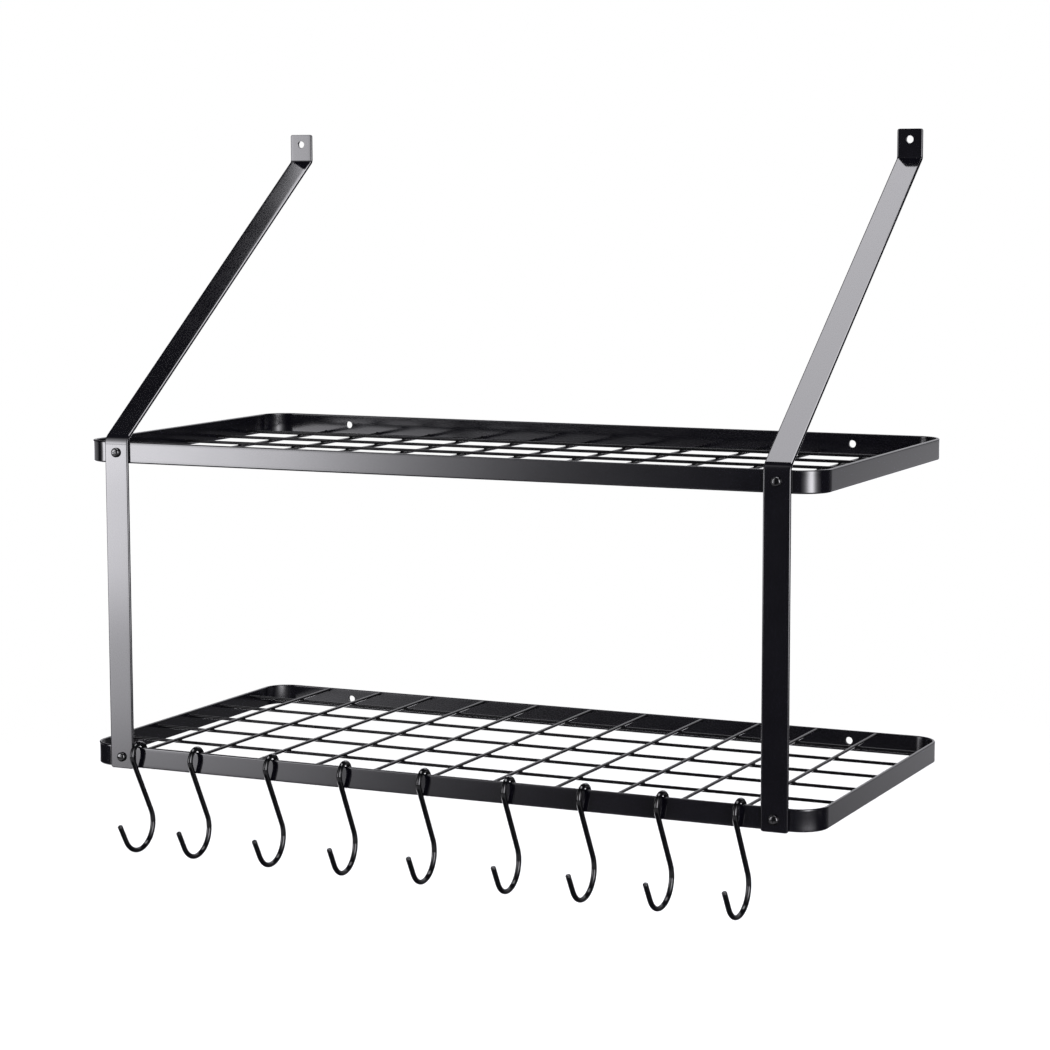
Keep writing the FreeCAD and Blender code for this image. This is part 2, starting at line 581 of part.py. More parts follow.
# ------------------------------------------------------------ test and write
doc.recompute()
for item in doc.Objects:
    if any(word in ("Invalid", "Error") for word in item.State):
        raise RuntimeError("%s failed: %s" % (item.Label, item.State))
    if item.TypeId == "Sketcher::SketchObject" and not item.FullyConstrained:
        raise RuntimeError("%s is not fully constrained" % item.Label)
for item in subparts:
    shape = item.Shape
    if shape.isNull() or not shape.isValid() or len(shape.Solids) != 1 or shape.Volume <= 0:
        raise RuntimeError("%s has no valid solid" % item.Label)

os.makedirs("parts", exist_ok=True)
for item in subparts:
    item.Shape.exportStep("parts/" + item.Label + ".step")
total = sum(item.Shape.Volume for item in subparts)
print("%d sub-parts, %.1f cm3" % (len(subparts), total / 1000))
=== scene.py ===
import math
import bpy
import bmesh
from mathutils import Matrix, Vector


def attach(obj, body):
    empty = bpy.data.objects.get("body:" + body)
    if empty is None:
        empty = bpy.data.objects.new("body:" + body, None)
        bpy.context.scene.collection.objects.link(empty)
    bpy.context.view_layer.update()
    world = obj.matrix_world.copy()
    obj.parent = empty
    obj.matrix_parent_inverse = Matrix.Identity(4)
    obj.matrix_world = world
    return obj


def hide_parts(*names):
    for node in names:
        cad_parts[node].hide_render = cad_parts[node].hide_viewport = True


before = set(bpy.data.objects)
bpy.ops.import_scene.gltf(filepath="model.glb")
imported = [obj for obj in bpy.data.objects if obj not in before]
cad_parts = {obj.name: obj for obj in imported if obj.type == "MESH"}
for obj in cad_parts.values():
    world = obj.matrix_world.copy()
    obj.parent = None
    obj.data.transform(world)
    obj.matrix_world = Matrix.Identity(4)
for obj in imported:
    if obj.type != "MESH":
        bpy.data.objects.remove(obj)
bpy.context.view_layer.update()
MM = 0.001

# ---------------------------------------------------------------- sizes, mm
WIDTH, DEPTH = 730.0, 356.0          # shelf hoop, outside
BAR_H, BAR_T = 20.0, 3.0             # flat bar of the hoops
R_OUT = 26.0                         # hoop corner, outside
SHELF_Z = {"lower": -144.0, "upper": 144.0}
WALL_HOLE_X, WALL_HOLE_R = 273.0, 3.5
WIRE_R = 1.5
CROSS_X = [60.0 * i for i in range(-5, 6)]
LONG_Y = [-DEPTH + DEPTH * k / 6.0 for k in range(1, 6)]
CROSS_Z, LONG_Z = 135.6, 138.6       # from the middle of the rack
STRAP_X, STRAP_W, STRAP_T = 326.0, 25.0, 3.0
STRAP_LOW, STRAP_TOP, TAB_HOLE_Z = -155.0, 442.0, 432.0
EDGE = 1.4                           # rounding along the edges of the bars
BEND_1, BEND_2 = (-353.0, 154.1), (-6.0, 416.5)
BEND_R = 4.5                         # middle of the bar's thickness
BEND_EASE = 5.5                      # the lower bend is drawn this much wider, between the same straight runs
HOOK_X = [-309.8, -247.0, -166.5, -89.9, -9.0, 75.3, 148.3, 221.6, 293.5]
HOOK_TURN = [-2.8, -0.7, -0.3, 2.1, 0.8, -0.1, -1.8, -3.2, -2.4]      # degrees about Z
HOOK_R = 2.5
HOOK_PIVOT = (-354.5, -141.756)


# ---------------------------------------------------------------- mesh tools
def section(w, t, r, n=8, flat=8):
    """A flat bar's outline with rounded edges, as (across the width, across the thickness), its two broad sides in equal steps."""
    pts = []
    for sx, sy, a0 in ((1, 1, 0), (-1, 1, 90), (-1, -1, 180), (1, -1, 270)):
        for k in range(n + 1):
            a = math.radians(a0 + 90.0 * k / n)
            pts.append((sx * (w / 2 - r) + r * math.cos(a), sy * (t / 2 - r) + r * math.sin(a)))
        if a0 in (0, 180):
            for k in range(1, flat):
                pts.append((sx * (w / 2 - r) * (1 - 2 * k / flat), sy * t / 2))
    return pts


def circle(r, n):
    return [(r * math.cos(2 * math.pi * k / n), r * math.sin(2 * math.pi * k / n)) for k in range(n)]


def loft(rings, closed=False):
    """Verts and faces of a skin through rings of equally many points, with end caps unless it closes on itself."""
    n = len(rings[0])
    verts = [p for ring in rings for p in ring]
    faces = []
    for i in range(len(rings) if closed else len(rings) - 1):
        a, b = i * n, ((i + 1) % len(rings)) * n
        for k in range(n):
            faces.append((a + k, a + (k + 1) % n, b + (k + 1) % n, b + k))
    if not closed:
        faces.append(tuple(reversed(range(n))))
        faces.append(tuple(range((len(rings) - 1) * n, len(rings) * n)))
    return verts, faces


def ring_at(origin, e1, e2, pts):
    o, e1, e2 = Vector(origin), Vector(e1), Vector(e2)
    return [tuple(o + e1 * a + e2 * b) for a, b in pts]


def revolve(profile, n, origin, axis, e1, e2):
    """Skin of revolution through (radius, height) points; a point of zero radius closes the skin."""
    o, ax, e1, e2 = Vector(origin), Vector(axis), Vector(e1), Vector(e2)
    verts, rows, faces = [], [], []
    for r, h in profile:
        if r < 1e-6:
            rows.append([len(verts)] * n)
            verts.append(tuple(o + ax * h))
        else:
            rows.append(list(range(len(verts), len(verts) + n)))
            for k in range(n):
                a = 2 * math.pi * k / n
                verts.append(tuple(o + ax * h + (e1 * math.cos(a) + e2 * math.sin(a)) * r))
    for low, high in zip(rows[:-1], rows[1:]):
        for k in range(n):
            j = (k + 1) % n
            f = []
            for v in (low[k], low[j], high[j], high[k]):
                if v not in f:
                    f.append(v)
            if len(f) > 2:
                faces.append(tuple(f))
    return verts, faces


def mesh_of(name, verts, faces):
    me = bpy.data.meshes.new(name)
    me.from_pydata([(x * MM, y * MM, z * MM) for x, y, z in verts], [], faces)
    me.validate()
    bm = bmesh.new()
    bm.from_mesh(me)
    bmesh.ops.recalc_face_normals(bm, faces=bm.faces[:])
    bm.to_mesh(me)
    bm.free()
    return me


def object_of(name, verts, faces):
    obj = bpy.data.objects.new(name, mesh_of(name, verts, faces))
    bpy.context.scene.collection.objects.link(obj)
    return obj


def cut(obj, cutters):
    for c in cutters:
        m = obj.modifiers.new("cut", "BOOLEAN")
        m.operation, m.solver, m.object = "DIFFERENCE", "EXACT", c
    made = bpy.data.meshes.new_from_object(obj.evaluated_get(bpy.context.evaluated_depsgraph_get()))
    old, name = obj.data, obj.data.name
    obj.modifiers.clear()
    obj.data = made
    bpy.data.meshes.remove(old)
    made.name = name
    for c in cutters:
        data = c.data
        bpy.data.objects.remove(c)
        bpy.data.meshes.remove(data)


def flared_cutter(x, y, z, r, t, flare):
    """Cutter for a hole along Y through a bar of thickness t, eased where it meets both faces."""
    p = [(0, -t), (r + t / 2 + flare, -t), (r, -t / 2 + flare), (r, t / 2 - flare), (r + t / 2 + flare, t), (0, t)]
    v, f = revolve(p, 40, (x, y, z), (0, 1, 0), (1, 0, 0), (0, 0, 1))
    return object_of("cutter", v, f)


def finish_piece(obj, mat, body, nodes, sharp=38.0):
    me = obj.data
    me.materials.clear()
    me.materials.append(mat)
    for p in me.polygons:
        p.use_smooth = True
    me.set_sharp_from_angle(angle=math.radians(sharp))
    m = obj.modifiers.new("normals", "WEIGHTED_NORMAL")
    m.mode, m.weight, m.keep_sharp = "FACE_AREA", 50, True
    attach(obj, body)
    if nodes:
        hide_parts(*nodes)


# ---------------------------------------------------------------- materials
def coat(name, dark, light, rough, rough_span, peel_scale, peel, mottle_scale, spec=0.5, coat_weight=0.0, coat_rough=0.1, metallic=0.0, inner_rough=0.0):
    """Black stoved coat: fine orange peel, slow changes of gloss and tone, and a few dust specks under the skin."""
    mat = bpy.data.materials.new(name)
    mat.use_nodes = True
    nt = mat.node_tree
    nt.nodes.clear()

    def node(kind, **inputs):
        n = nt.nodes.new(kind)
        for k, v in inputs.items():
            n.inputs[k].default_value = v
        return n

    out = node("ShaderNodeOutputMaterial")
    b = node("ShaderNodeBsdfPrincipled")
    b.inputs["Specular IOR Level"].default_value = spec
    b.inputs["IOR"].default_value = 1.5
    b.inputs["Metallic"].default_value = metallic
    b.inputs["Coat Weight"].default_value = coat_weight
    b.inputs["Coat Roughness"].default_value = coat_rough
    tc = node("ShaderNodeTexCoord")

    mottle = node("ShaderNodeTexNoise", Scale=mottle_scale, Detail=4.0, Roughness=0.55)
    nt.links.new(tc.outputs["Object"], mottle.inputs["Vector"])
    fine = node("ShaderNodeTexNoise", Scale=peel_scale, Detail=2.0, Roughness=0.5)
    nt.links.new(tc.outputs["Object"], fine.inputs["Vector"])
    grain = node("ShaderNodeTexNoise", Scale=peel_scale * 4.5, Detail=1.0, Roughness=0.5)
    nt.links.new(tc.outputs["Object"], grain.inputs["Vector"])
    speck = node("ShaderNodeTexVoronoi", Scale=peel_scale * 0.35)
    nt.links.new(tc.outputs["Object"], speck.inputs["Vector"])

    tone = node("ShaderNodeValToRGB")
    tone.color_ramp.elements[0].position, tone.color_ramp.elements[0].color = 0.32, (*dark, 1)
    tone.color_ramp.elements[1].position, tone.color_ramp.elements[1].color = 0.70, (*light, 1)
    nt.links.new(mottle.outputs["Fac"], tone.inputs["Fac"])
    dots = node("ShaderNodeMapRange")
    dots.inputs["From Min"].default_value, dots.inputs["From Max"].default_value = 0.02, 0.07
    dots.inputs["To Min"].default_value, dots.inputs["To Max"].default_value = 0.35, 0.0
    nt.links.new(speck.outputs["Distance"], dots.inputs["Value"])
    mix = nt.nodes.new("ShaderNodeMix")
    mix.data_type = "RGBA"
    mix.inputs["B"].default_value = (light[0] * 2.2, light[1] * 2.2, light[2] * 2.2, 1)
    nt.links.new(dots.outputs["Result"], mix.inputs["Factor"])
    nt.links.new(tone.outputs["Color"], mix.inputs["A"])
    nt.links.new(mix.outputs["Result"], b.inputs["Base Color"])

    gloss = node("ShaderNodeMapRange")
    gloss.inputs["From Min"].default_value, gloss.inputs["From Max"].default_value = 0.3, 0.7
    gloss.inputs["To Min"].default_value, gloss.inputs["To Max"].default_value = rough - rough_span, rough + rough_span
    nt.links.new(mottle.outputs["Fac"], gloss.inputs["Value"])
    dull = gloss.outputs["Result"]
    if inner_rough:
        # less of the spray reaches the inner side of a hoop, and it sets duller there
        def calc(way, *terms):
            n = nt.nodes.new("ShaderNodeMath")
            n.operation = way
            for k, v in enumerate(terms):
                if isinstance(v, float):
                    n.inputs[k].default_value = v
                else:
                    nt.links.new(v, n.inputs[k])
            return n.outputs["Value"]

        xyz = node("ShaderNodeSeparateXYZ")
        nt.links.new(tc.outputs["Object"], xyz.inputs["Vector"])
        r, hx, hy = R_OUT / 1000.0, WIDTH / 2000.0, DEPTH / 2000.0
        qx = calc("SUBTRACT", calc("ABSOLUTE", xyz.outputs["X"]), hx - r)
        qy = calc("SUBTRACT", calc("ABSOLUTE", calc("ADD", xyz.outputs["Y"], hy)), hy - r)
        mx, my = calc("MAXIMUM", qx, 0.0), calc("MAXIMUM", qy, 0.0)
        far = calc("SQRT", calc("MULTIPLY_ADD", mx, mx, calc("MULTIPLY", my, my)))
        depth = calc("SUBTRACT", calc("ADD", far, calc("MINIMUM", calc("MAXIMUM", qx, qy), 0.0)), r)
        inside = calc("LESS_THAN", depth, -BAR_T / 2000.0)
        dull = calc("MULTIPLY_ADD", inside, float(inner_rough), dull)
        nt.links.new(calc("MULTIPLY_ADD", inside, -0.45 * spec, float(spec)), b.inputs["Specular IOR Level"])
    nt.links.new(dull, b.inputs["Roughness"])

    high = nt.nodes.new("ShaderNodeMath")
    high.operation = "MULTIPLY_ADD"
    high.inputs[1].default_value = 0.22
    nt.links.new(grain.outputs["Fac"], high.inputs[0])
    nt.links.new(fine.outputs["Fac"], high.inputs[2])
    bump = node("ShaderNodeBump", Strength=peel, Distance=0.00012)
    nt.links.new(high.outputs["Value"], bump.inputs["Height"])
    nt.links.new(bump.outputs["Normal"], b.inputs["Normal"])
    nt.links.new(b.outputs["BSDF"], out.inputs["Surface"])
    return mat


BAR = coat("bar_coat_black", (0.0010, 0.0009, 0.0017), (0.0018, 0.0017, 0.0027), 0.076, 0.008, 420.0, 0.0010, 26.0)
RAIL = coat("rail_coat_black", (0.0010, 0.0009, 0.0017), (0.0018, 0.0017, 0.0027), 0.076, 0.008, 420.0, 0.0010, 26.0, inner_rough=0.07)
WIRE = coat("wire_coat_black", (0.0008, 0.0008, 0.0010), (0.0018, 0.0017, 0.0021), 0.16, 0.02, 700.0, 0.012, 40.0, spec=0.12)
HOOK = coat("hook_coat_black", (0.0006, 0.0006, 0.0008), (0.0014, 0.0014, 0.0017), 0.07, 0.008, 500.0, 0.005, 55.0, spec=0.30)
SCREW = coat("screw_coat_black", (0.0006, 0.0006, 0.0008), (0.0016, 0.0016, 0.0019), 0.07, 0.012, 1500.0, 0.008, 220.0, spec=0.5)
NUT = coat("nut_coat_black", (0.008, 0.008, 0.009), (0.018, 0.018, 0.019), 0.28, 0.06, 1800.0, 0.08, 260.0, metallic=0.35)


# ---------------------------------------------------------------- shelves
def hoop_path():
    """Middle line of the hoop's bar as (x, y, outward x, outward y, curl), all the way round."""
    r, hw, out = R_OUT - BAR_T / 2, WIDTH / 2 - R_OUT, []

    def run(p, q, n, normal):
        for k in range(n):
            t = k / n
            out.append((p[0] + (q[0] - p[0]) * t, p[1] + (q[1] - p[1]) * t, *normal, 0.0))

    def corner(cx, cy, a0):
        # the bent section curls, so its two edges stand a little outwards
        for k in range(24):
            a = math.radians(a0 + 90.0 * k / 24)
            curl = 0.16 * math.sin(math.pi * k / 24) ** 0.8
            out.append((cx + r * math.cos(a), cy + r * math.sin(a), math.cos(a), math.sin(a), curl))

    back, front = -BAR_T / 2, -DEPTH + BAR_T / 2
    corner(hw, -R_OUT, 0)
    stops = [hw, WALL_HOLE_X + 11, WALL_HOLE_X - 11, 180, 90, 0, -90, -180, -WALL_HOLE_X + 11, -WALL_HOLE_X - 11, -hw]
    for a, b in zip(stops[:-1], stops[1:]):
        run((a, back), (b, back), 1, (0, 1))
    corner(-hw, -R_OUT, 90)
    run((-WIDTH / 2 + BAR_T / 2, -R_OUT), (-WIDTH / 2 + BAR_T / 2, -DEPTH + R_OUT), 4, (-1, 0))
    corner(-hw, -DEPTH + R_OUT, 180)
    run((-hw, front), (hw, front), 8, (0, -1))
    corner(hw, -DEPTH + R_OUT, 270)
    run((WIDTH / 2 - BAR_T / 2, -DEPTH + R_OUT), (WIDTH / 2 - BAR_T / 2, -R_OUT), 4, (1, 0))
    return out


def wire(name, p, q, side, radius=WIRE_R, n=20, squeeze=0.0):
    """A round wire from p to q whose two ends spread into the weld on the bar. side is the direction across, squeeze how far the weld sits towards the middle of the bar."""
    p, q, e1 = Vector(p), Vector(q), Vector(side)
    along = (q - p).normalized()
    e2 = along.cross(e1)
    length = (q - p).length
    steps = [(0.0, 1.0), (0.25, 0.86), (0.6, 0.55), (1.1, 0.27), (1.8, 0.09), (2.6, 0.0)]
    stations = [(d, w) for d, w in steps] + [(length * k / 12, 0.0) for k in range(1, 12)] + [(length - d, w) for d, w in reversed(steps)]
    down = Vector((0, 0, squeeze))
    rings = []
    for d, w in stations:
        o = p + along * d + down * w
        wide, tall = radius + 0.55 * w, radius + (0.5 - 0.5 * abs(squeeze)) * w
        pts = []
        for k in range(n):
            a = 2 * math.pi * k / n
            v = e1 * (math.cos(a) * wide) + e2 * (math.sin(a) * tall)
            pts.append(tuple(o + v))
        rings.append(pts)
    return object_of(name, *loft(rings))


def weld(cx, cy, cz, rx, ry, rz, nu=14, nv=8):
    verts, faces = [], []
    verts.append((cx, cy, cz + rz))
    for j in range(1, nv):
        b = math.pi * j / nv
        for k in range(nu):
            a = 2 * math.pi * k / nu
            verts.append((cx + rx * math.sin(b) * math.cos(a), cy + ry * math.sin(b) * math.sin(a), cz + rz * math.cos(b)))
    verts.append((cx, cy, cz - rz))
    last = len(verts) - 1
    for k in range(nu):
        faces.append((0, 1 + k, 1 + (k + 1) % nu))
        faces.append((last, last - nu + (k + 1) % nu, last - nu + k))
    for j in range(nv - 2):
        a, b = 1 + j * nu, 1 + (j + 1) * nu
        for k in range(nu):
            faces.append((a + k, b + k, b + (k + 1) % nu, a + (k + 1) % nu))
    return verts, faces


bar = section(BAR_H, BAR_T, EDGE)
for shelf, z0 in SHELF_Z.items():
    rings = [ring_at((x, y, z0), (0, 0, 1), (nx, ny, 0), [(u, v + c * (2 * u / BAR_H) ** 2) for u, v in bar]) for x, y, nx, ny, c in hoop_path()]
    rail = object_of(shelf + "_rail", *loft(rings, closed=True))
    cut(rail, [flared_cutter(s * WALL_HOLE_X, -BAR_T / 2, z0, WALL_HOLE_R, BAR_T, 0.35) for s in (-1, 1)])
    finish_piece(rail, RAIL, "rack", [shelf + "_shelf_frame"])

    s = -1.0 if shelf == "lower" else 1.0
    zc, zl = s * CROSS_Z, s * LONG_Z
    for i, x in enumerate(CROSS_X):
        w = wire(f"{shelf}_cross_rod_{i + 1:02d}", (x, -BAR_T, zc), (x, -DEPTH + BAR_T, zc), (1, 0, 0), squeeze=0.5 * s)
        finish_piece(w, WIRE, "rack", [f"{shelf}_cross_wire_{i + 1:02d}"])
    for k, y in enumerate(LONG_Y):
        w = wire(f"{shelf}_long_rod_{k + 1}", (-WIDTH / 2 + BAR_T, y, zl), (WIDTH / 2 - BAR_T, y, zl), (0, 1, 0))
        finish_piece(w, WIRE, "rack", [f"{shelf}_long_wire_{k + 1}"])
    verts, faces = [], []
    for i, x in enumerate(CROSS_X):
        for k, y in enumerate(LONG_Y):
            # each weld a little different, by a fixed rule
            u = math.sin(12.9898 * (i + 1) + 78.233 * (k + 1) + s) * 43758.5453
            u -= math.floor(u)
            v, f = weld(x + 0.25 * (u - 0.5), y - 0.2 * (u - 0.5), (zc + zl) / 2, 1.75 + 0.3 * u, 1.95 - 0.25 * u, 0.95 + 0.15 * u)
            faces += [tuple(a + len(verts) for a in g) for g in f]
            verts += v
    nuggets = object_of(shelf + "_grid_welds", verts, faces)
    finish_piece(nuggets, WIRE, "rack", [])


# ---------------------------------------------------------------- straps
def strap_stations():
    """(y, z, front y, front z) along the middle of the bar, from the lower end to the tab's top."""
    (y1, z1), (y2, z2) = BEND_1, BEND_2
    d = math.hypot(y2 - y1, z2 - z1)
    th = math.atan2(y2 - y1, z2 - z1) + math.asin(2 * BEND_R / d)
    wide = BEND_R + BEND_EASE
    y1, z1 = y1 + BEND_EASE, z1 - BEND_EASE * math.tan(th / 2)
    out = []
    for k in range(1, 9):
        out.append((y1 - wide, STRAP_LOW + 2 + (z1 - STRAP_LOW - 2) * k / 9, -1.0, 0.0))
    for k in range(19):
        a = th * k / 18
        out.append((y1 - wide * math.cos(a), z1 + wide * math.sin(a), -math.cos(a), math.sin(a)))
    p, q = (y1 - wide * math.cos(th), z1 + wide * math.sin(th)), (y2 + BEND_R * math.cos(th), z2 - BEND_R * math.sin(th))
    for k in range(1, 12):
        t = k / 12
        out.append((p[0] + (q[0] - p[0]) * t, p[1] + (q[1] - p[1]) * t, -math.cos(th), math.sin(th)))
    for k in range(13):
        a = th * (1 - k / 12)
        out.append((y2 + BEND_R * math.cos(a), z2 - BEND_R * math.sin(a), -math.cos(a), math.sin(a)))
    out.append((y2 + BEND_R, z2 + 3.0, -1.0, 0.0))
    return out


def strap_end(z, up):
    """(z, half width, inset of the thickness) of the rings that round an end's corners and its edge."""
    rows, ease, corner = [], 0.55, 2.0
    for k in range(5):
        a = math.radians(90.0 * k / 4)
        rows.append((ease * (1 - math.cos(a)), ease * (1 - math.sin(a))))
    rows += [(d, 0.0) for d in (0.9, 1.3, 1.7, 2.0)]
    return [(z + up * d, STRAP_W / 2 - corner + math.sqrt(max(corner ** 2 - (corner - d) ** 2, 0.0)) - inset, inset) for d, inset in rows]


for side, x in (("left", -STRAP_X), ("right", STRAP_X)):
    rings = []

    def end_rings(y, rows):
        for z, half, inset in rows:
            sec = section(2 * half, STRAP_T - 2 * inset, EDGE - inset)
            rings.append(ring_at((x, y, z), (1, 0, 0), (0, -1, 0), sec))

    end_rings(BEND_1[0] - BEND_R, strap_end(STRAP_LOW, 1))
    full = section(STRAP_W, STRAP_T, EDGE)
    for y, z, ny, nz in strap_stations():
        rings.append(ring_at((x, y, z), (1, 0, 0), (0, ny, nz), full))
    end_rings(BEND_2[0] + BEND_R, list(reversed(strap_end(STRAP_TOP, -1))))
    strap = object_of(side + "_bracket", *loft(rings))
    cut(strap, [flared_cutter(x, BEND_2[0] + BEND_R, TAB_HOLE_Z, WALL_HOLE_R, STRAP_T, 0.35)])
    finish_piece(strap, BAR, "rack", [side + "_strap"])


# ---------------------------------------------------------------- screws and nuts
def pan_head(name, x, z):
    """Pan-head machine screw along Y: head in front of the strap, thread showing past the nut."""
    y_head, tail = -359.0, 11.5
    axis, e1, e2 = (0, -1, 0), (1, 0, 0), (0, 0, 1)
    prof = [(0.0, -tail), (1.7, -tail), (2.0, -tail + 0.25)]
    r_out, h_rim, h_top, ease = 4.5, 0.97, 3.3, 2.2
    n = 64
    verts, faces = revolve([(2.5, -tail + 3.4), (2.5, 0.0), (r_out - 0.25, 0.0), (r_out - 0.07, 0.08), (r_out, 0.25), (r_out, h_rim)] + [
        (r_out - ease * (1 - math.cos(math.radians(a))), h_rim + ease * math.sin(math.radians(a))) for a in range(6, 83, 4)] + [
        (r, h_top - r * r / 40.0) for r in (2.4, 2.1, 1.7, 1.2, 0.8, 0.4)] + [(0.0, h_top)],
        n, (x, y_head, z), axis, e1, e2)
    # thread: a ridge that climbs 0.8 mm a turn, fading at the tip
    base, rows, o = len(verts), 26, Vector((x, y_head, z))
    for j in range(rows + 1):
        h = -tail + 3.4 * (1 - j / rows)
        for k in range(n):
            t = (h / 0.8 - k / n) % 1.0
            ridge = abs(2 * t - 1)
            fade = min(1.0, (h + tail) / 0.7)
            r = 2.5 - 0.42 * ridge - 0.45 * (1 - fade)
            if j == 0:
                r = 2.5
            a = 2 * math.pi * k / n
            verts.append(tuple(o + Vector(axis) * h + (Vector(e1) * math.cos(a) + Vector(e2) * math.sin(a)) * r))
    for j in range(rows):
        for k in range(n):
            a, b = base + j * n, base + (j + 1) * n
            faces.append((a + k, a + (k + 1) % n, b + (k + 1) % n, b + k))
    # the first thread row is the end ring of the turned part
    merge = {base + k: k for k in range(n)}
    faces = [tuple(merge.get(v, v) for v in f) for f in faces]
    faces.append(tuple(base + rows * n + k for k in range(n)))
    verts2, remap = [], {}
    for f in faces:
        for v in f:
            if v not in remap:
                remap[v] = len(verts2)
                verts2.append(verts[v])
    faces = [tuple(remap[v] for v in f) for f in faces]
    obj = object_of(name, verts2, faces)
    # cross recess, narrowing inwards
    cv, cf = [], []
    rings = []
    for h, grow in ((3.9, 1.12), (1.7, 0.72)):
        a, b = 2.05 * grow, 0.30 * (0.55 + 0.45 * grow)
        pts = [(a, -b), (a, b), (b, b), (b, a), (-b, a), (-b, b), (-a, b), (-a, -b), (-b, -b), (-b, -a), (b, -a), (b, -b)]
        rings.append(ring_at((x, y_head - h, z), e1, e2, pts))
    cv, cf = loft(rings)
    cut(obj, [object_of("cutter", cv, cf)])
    # the recess corners fall on the head's own edges: join the doubled points there
    bm = bmesh.new()
    bm.from_mesh(obj.data)
    bmesh.ops.remove_doubles(bm, verts=bm.verts[:], dist=5e-7)
    bmesh.ops.dissolve_degenerate(bm, edges=bm.edges[:], dist=5e-7)
    bm.to_mesh(obj.data)
    bm.free()
    return obj


def hex_nut(name, x, z):
    """Hexagon nut on the inner face of the front rail, its free corners turned off."""
    y0, high, af, n = -353.0, 4.0, 8.0, 96
    def hexagon(a):
        return (af / 2) / math.cos((a + math.pi / 6) % (math.pi / 3) - math.pi / 6)
    rows = [(0.0, 4.35), (0.15, 9.0)] + [(h, 3.86 + (high - h) * 1.732) for h in (0.3, high - 0.52, high - 0.42, high - 0.32, high - 0.22, high - 0.12, high)]
    rings = []
    for h, limit in rows:
        pts = []
        for k in range(n):
            a = 2 * math.pi * k / n
            r = min(hexagon(a), limit)
            pts.append((r * math.cos(a), r * math.sin(a)))
        rings.append(ring_at((x, y0 + h, z), (1, 0, 0), (0, 0, 1), pts))
    for h, r in ((high, 3.05), (high - 0.4, 2.6), (0.4, 2.6), (0.0, 3.05)):
        rings.append(ring_at((x, y0 + h, z), (1, 0, 0), (0, 0, 1), circle(r, n)))
    return object_of(name, *loft(rings, closed=True))


for shelf, z0 in SHELF_Z.items():
    for side, x in (("left", -STRAP_X), ("right", STRAP_X)):
        finish_piece(pan_head(f"{shelf}_{side}_panhead", x, z0), SCREW, "rack", [f"{shelf}_{side}_screw"], sharp=32.0)
        finish_piece(hex_nut(f"{shelf}_{side}_hexnut", x, z0), NUT, "rack", [f"{shelf}_{side}_nut"], sharp=24.0)


# ---------------------------------------------------------------- hooks
def hook_path():
    """(y, z, direction) along the rod from the free end of its loop to the tip, about the pivot."""
    out = []
    r, lean, turn, tail = 10.7, 28.04, 177.9, -20.0
    leg, bowl, tip = 57.8, 23.3, 19.6
    for k in range(46):
        f = math.radians(tail + (180 + lean - tail) * k / 45)
        out.append((r * math.cos(f), r * math.sin(f), math.degrees(f) + 90))
    a = math.radians(lean)
    e = Vector((out[-1][0], out[-1][1])) + leg * Vector((math.sin(a), -math.cos(a)))
    start = Vector((out[-1][0], out[-1][1]))
    for k in range(1, 8):
        p = start.lerp(e, k / 8)
        out.append((p.x, p.y, lean - 90))
    c = e + bowl * Vector((-math.cos(a), -math.sin(a)))
    for k in range(37):
        g = a - math.radians(turn) * k / 36
        out.append((c.x + bowl * math.cos(g), c.y + bowl * math.sin(g), math.degrees(g) - 90))
    g = a - math.radians(turn)
    start = Vector((out[-1][0], out[-1][1]))
    e = start + tip * Vector((math.sin(g), -math.cos(g)))
    for k in range(1, 5):
        p = start.lerp(e, k / 4)
        out.append((p.x, p.y, math.degrees(g) - 90))
    return out


path = hook_path()
for i, (x, turned) in enumerate(zip(HOOK_X, HOOK_TURN)):
    rings = []
    st, ct = math.sin(math.radians(turned)), math.cos(math.radians(turned))

    def add(y, z, deg, r):
        d = math.radians(deg)
        e2 = (st * math.sin(d), -ct * math.sin(d), math.cos(d))
        rings.append(ring_at((x - st * y, HOOK_PIVOT[0] + ct * y, HOOK_PIVOT[1] + z), (ct, st, 0), e2, circle(r, 24)))

    def eased(y, z, deg, sign):
        """Rings of a rod end whose edge is rounded by 1.6 mm."""
        d = math.radians(deg)
        rows = []
        for k in range(7):
            a = math.radians(90.0 * k / 6)
            back = 1.6 * (1 - math.sin(a))
            rows.append((1.6 * (1 - math.cos(a)), HOOK_R - back))
        for s, r in (rows if sign > 0 else list(reversed(rows))):
            add(y + sign * s * math.cos(d), z + sign * s * math.sin(d), deg, r)

    y0, z0, d0 = path[0]
    y1, z1, d1 = path[-1]
    eased(y0, z0, d0, 1)
    for y, z, d in path[1:-1]:
        if math.hypot(y - y0, z - z0) > 1.7 and math.hypot(y - y1, z - z1) > 1.7:
            add(y, z, d, HOOK_R)
    eased(y1, z1, d1, -1)
    rod = object_of(f"hook_rod_{i + 1}", *loft(rings))
    finish_piece(rod, HOOK, f"hook_{i + 1}", [f"pot_hook_{i + 1}"], sharp=60.0)


